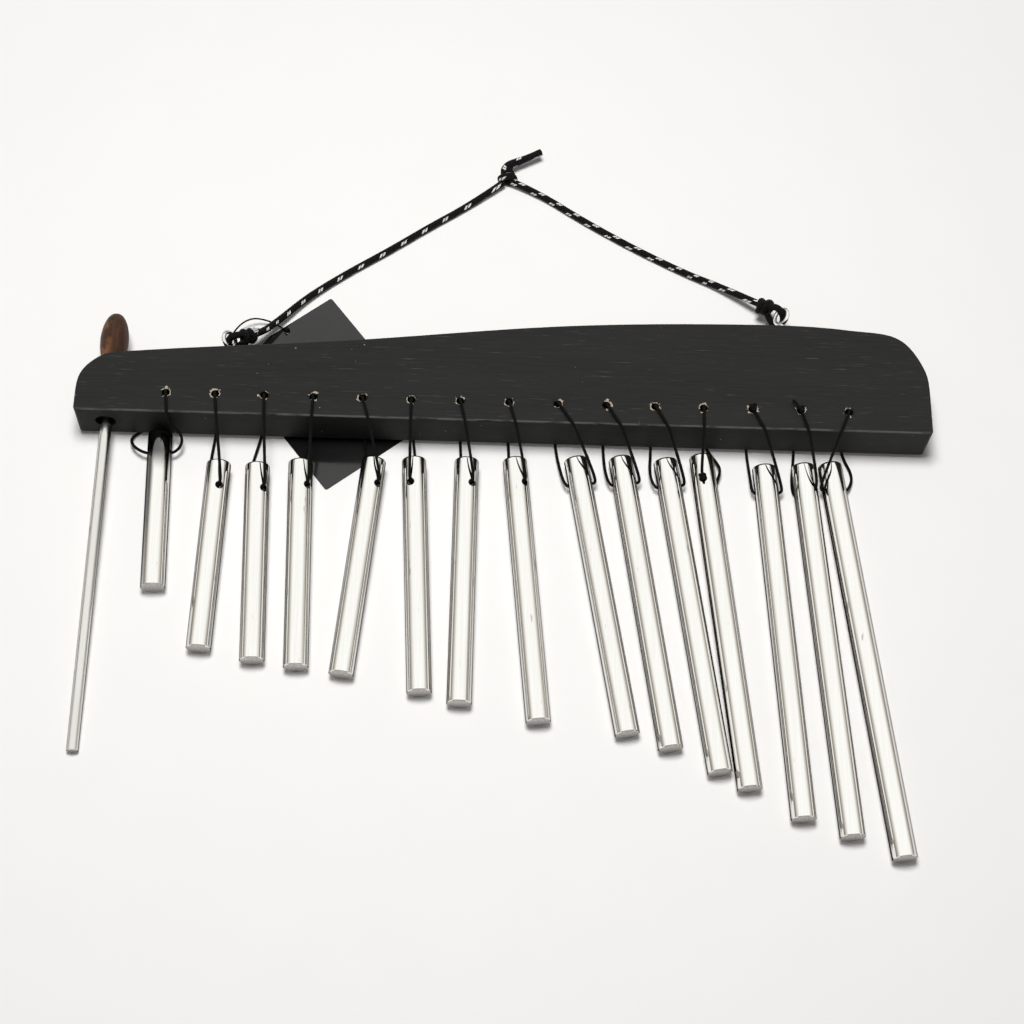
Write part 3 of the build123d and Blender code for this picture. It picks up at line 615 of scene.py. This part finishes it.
def thread_route(index):
    """Control points of one thread loop, with the places that its blend and its knot need."""
    number = index + 1
    lean, spin = math.radians(CHIME_LEAN[index]), math.radians(CROSS_TURN[index])
    facing = abs(CROSS_TURN[index]) < FACING_LIMIT
    low = (TAG_GAP if number in OVER_TAG else TABLE_GAP) + THREAD_RADIUS
    slope = (low + STRAND_OUT) / (CHIME_LENGTHS[index] - CROSS_DROPS[index]) if facing else 0.0
    down = (Vector((math.sin(lean), -math.cos(lean), 0)) - UP * slope).normalized()
    right_side = Vector((math.cos(lean), math.sin(lean), 0))
    lifted = down.cross(right_side)
    out = right_side * math.sin(spin) + lifted * math.cos(spin)
    hole = Vector((HOLE_FIRST + HOLE_PITCH * index, HOLE_HEIGHT, BAR_MIDDLE))
    top_height = CHIME_RADIUS + slope * CHIME_LENGTHS[index]
    top = Vector((hole.x + CHIME_ACROSS[index], -CHIME_BELOW[index], top_height))
    cross = top + down * CROSS_DROPS[index]
    reach = CHIME_RADIUS + MOUTH_REACH
    front = Vector((hole.x, hole.y, BAR_FRONT + STRAND_OUT))
    behind = Vector((hole.x, hole.y, low))
    if facing:
        entry = [cross + out * (CHIME_RADIUS + past) - down * rise for past, rise in FACING_ENTRY]
    else:
        entry = [cross + out * reach]
        if abs(CROSS_TURN[index]) > BEND_LIMIT:
            bend = cross + out * (reach + FRONT_BOWS[index]) - down * FRONT_BEND_RISE
            entry.insert(0, bend + lifted * FRONT_BEND_LIFT)
    if number in BOWED_ENTRIES:
        entry = [Vector(p) for p in BOWED_ENTRIES[number]] + entry[-1:]
    share = (HOLE_HEIGHT + STRAND_OUT) / (HOLE_HEIGHT - entry[0].y)
    edge = Vector((hole.x + (entry[0].x - hole.x) * share, -STRAND_OUT, front.z))
    if facing:
        leave = cross - out * (CHIME_RADIUS + STRAND_OUT)
        aside = BACK_BOWS[index] or (leave - cross).dot(right_side) * UNDER_BEND_SHARE
        bow = cross + right_side * aside - down * UNDER_BEND_RISE
        exits = [leave, Vector((bow.x, bow.y, low))]
    else:
        leave = cross - out * reach
        bow = cross - out * (reach + BACK_BOWS[index]) - down * BACK_BEND_RISE - lifted
        bow.z = max(bow.z, low)
        exits = [leave, bow, Vector((hole.x, -STRAND_OUT, low))]
    if number in BOWED_EXITS:
        exits = [leave] + [Vector(p) for p in BOWED_EXITS[number]]
    face = (edge - front).normalized()
    drop = (entry[0] - edge).normalized()
    inside = out * (CHIME_RADIUS - MOUTH_INSET)
    last = (behind - exits[-1]).normalized()
    route = [hole, front - UP * CORNER_EASE, front, front + face * CORNER_EASE, edge - face * EDGE_EASE,
             edge + (drop - face) * EDGE_CUT, edge + drop * DROP_EASE, *entry, cross + inside, cross - inside,
             *exits, behind - last * CORNER_EASE, behind, behind + UP * CORNER_EASE, hole]
    return route, edge, cross, out, front


def knot_route(middle, size):
    """Closed trefoil round a point."""
    angles = [2 * math.pi * k / KNOT_POINTS for k in range(KNOT_POINTS)]
    return [middle + Vector((math.sin(t) + 2 * math.sin(2 * t), math.cos(t) - 2 * math.cos(2 * t),
                             -math.sin(3 * t))) * size for t in angles]


def thread_knot(name, middle, size, body):
    knot = curve_object(name, [knot_route(middle, size)], KNOT_RADIUS, closed=True, sides=2, steps=4)
    dress(knot, thread_fibre)
    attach(knot, body)


for index in range(CHIME_COUNT):
    number = index + 1
    thread, chime = f"thread_{number:02d}", f"chime_{number:02d}"
    route, edge, cross, out, front = thread_route(index)
    loop = as_mesh(curve_object(thread + "_loop", [route], THREAD_RADIUS, sides=2, steps=5))
    dress(loop, thread_fibre)
    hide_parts(thread)
    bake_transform(loop)
    if number in BAR_KNOTS:
        thread_knot(thread + "_knot", front + UP * BAR_KNOT_LIFT, BAR_KNOTS[number], thread)
    if number in ROD_KNOTS:
        thread_knot(thread + "_knot", cross + out * (CHIME_RADIUS + ROD_KNOT_OUT), ROD_KNOTS[number], chime)

spare = curve_object("thread_14_spare", [SPARE_RUN], SPARE_RADIUS, sides=2)
dress(spare, thread_fibre)
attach(spare, "thread_14")

# Materials of the hard pieces.
paint("bar", bar_material())
polished = [rod_material(f"chime_polished_{k}", base=0.92, gloss=0.05, haze=0.08, seed=37 * k)
            for k in range(3)]
# The first chime is given the painted dark reflection of the bar and the darker left side.
paint("chime_01", rod_material("chime_dark_top_and_side", base=0.92, gloss=0.05, haze=0.10, seed=19, dark_top_and_side=0.95))
for index in range(1, CHIME_COUNT):
    paint(f"chime_{index + 1:02d}", polished[index % len(polished)])
paint("beater_rod", rod_material("beater_satin", base=0.80, gloss=0.20, haze=0.12, seed=11))
paint("beater_handle", handle_material())
zinc = zinc_material()
paint("screw_eye_left", zinc)
paint("screw_eye_right", zinc)
paint("hang_tag", card_material())

# Studio, in metres: a pale floor, a soft lamp, and a world whose reflection is bright overhead.
FLOOR_HALF = 1.6
# The floor's own glow: its share near the part and far away, and the distances between which it grows.
NEAR_GLOW, FAR_GLOW, GLOW_START, GLOW_END = 0.06, 0.92, 0.27, 0.62
GLOW_COLOUR = (0.98, 0.972, 0.955, 1)
# The world's strength low and high, the heights between which it grows, and its share as light on the part.
LOW_LEVEL, HIGH_LEVEL, LOW_HEIGHT, HIGH_HEIGHT, LIGHT_SHARE = 0.27, 1.08, 0.10, 0.78, 0.10
LOW_COLOUR, HIGH_COLOUR = (1.01, 0.945, 0.845, 1), (0.995, 0.995, 0.98, 1)
BACKDROP_LEVEL = 0.94
LAMP_PLACE, LAMP_SIZE, LAMP_POWER, LAMP_COLOUR = (-0.08, 0.14, 1.1), 0.34, 12.1, (1.0, 0.99, 0.975)


def seen_rays(tree):
    """Light Path's outputs, and 1 for rays from the camera, a reflection or a clear surface."""
    rays = tree.nodes.new("ShaderNodeLightPath").outputs
    seen = calc(tree, "ADD", rays["Is Camera Ray"], rays["Is Glossy Ray"])
    seen = calc(tree, "MINIMUM", calc(tree, "ADD", seen, rays["Is Transmission Ray"]), 1.0)
    return rays, seen


def floor_material():
    """White paper, lit by the lamp near the part and glowing evenly far from it."""
    material, tree, shader = new_material("floor_white")
    paper = noise(tree, (40, 40, 40), 2.0, 0.5)
    put(tree, shader.inputs["Base Color"], mix(tree, paper, grey(0.91, 0.008), grey(0.93, 0.008)))
    shader.inputs["Roughness"].default_value = 0.9
    shader.inputs["Specular IOR Level"].default_value = 0.0
    glow = node(tree, "ShaderNodeEmission", Color=GLOW_COLOUR, Strength=1.0)
    away = node(tree, "ShaderNodeVectorMath", {"operation": "LENGTH"}, Vector=place(tree)).outputs["Value"]
    share = ramp(tree, away, GLOW_START, GLOW_END, NEAR_GLOW, FAR_GLOW)
    seen = seen_rays(tree)[1]
    blend = node(tree, "ShaderNodeMixShader")
    put(tree, blend.inputs[0], calc(tree, "MULTIPLY", seen, share))
    put(tree, blend.inputs[1], shader.outputs[0])
    put(tree, blend.inputs[2], glow.outputs[0])
    put(tree, tree.nodes["Material Output"].inputs["Surface"], blend.outputs[0])
    return material


def studio_floor():
    corners = [(x * FLOOR_HALF, y * FLOOR_HALF, 0) for x, y in ((-1, -1), (1, -1), (1, 1), (-1, 1))]
    mesh = bpy.data.meshes.new("floor")
    mesh.from_pydata(corners, [], [(0, 1, 2, 3)])
    mesh.materials.append(floor_material())
    floor = bpy.data.objects.new("floor", mesh)
    scene.collection.objects.link(floor)


def studio_world():
    """Gives reflections a gradient, the camera a pale backdrop and the part a little light."""
    world = bpy.data.worlds.new("world")
    scene.world = world
    world.use_nodes = True
    sky = world.node_tree
    coords = sky.nodes.new("ShaderNodeTexCoord").outputs["Generated"]
    height = node(sky, "ShaderNodeSeparateXYZ", Vector=coords).outputs[2]
    rays, seen = seen_rays(sky)
    direct = calc(sky, "LESS_THAN", rays["Diffuse Depth"], 0.5)
    seen = calc(sky, "MULTIPLY", seen, direct)
    level = ramp(sky, height, LOW_HEIGHT, HIGH_HEIGHT, LOW_LEVEL, HIGH_LEVEL)
    level = calc(sky, "MULTIPLY", level, calc(sky, "MULTIPLY_ADD", seen, 1 - LIGHT_SHARE, LIGHT_SHARE))
    level = calc(sky, "MAXIMUM", level, calc(sky, "MULTIPLY", rays["Is Camera Ray"], BACKDROP_LEVEL))
    plain = calc(sky, "MAXIMUM", ramp(sky, height, LOW_HEIGHT, HIGH_HEIGHT), rays["Is Camera Ray"])
    background = sky.nodes["Background"].inputs
    put(sky, background["Color"], mix(sky, plain, LOW_COLOUR, HIGH_COLOUR))
    put(sky, background["Strength"], level)


def studio_lamp():
    """Soft lamp that lights surfaces and casts the shadow, but isn't seen in reflections."""
    lamp = bpy.data.lights.new("key", "AREA")
    lamp.shape = "SQUARE"
    lamp.size = LAMP_SIZE
    lamp.energy = LAMP_POWER
    lamp.color = LAMP_COLOUR
    made = bpy.data.objects.new("key", lamp)
    scene.collection.objects.link(made)
    made.location = LAMP_PLACE
    made.visible_glossy = False
    made.rotation_euler = (-Vector(LAMP_PLACE)).to_track_quat("-Z", "Y").to_euler()


studio_floor()
studio_world()
studio_lamp()
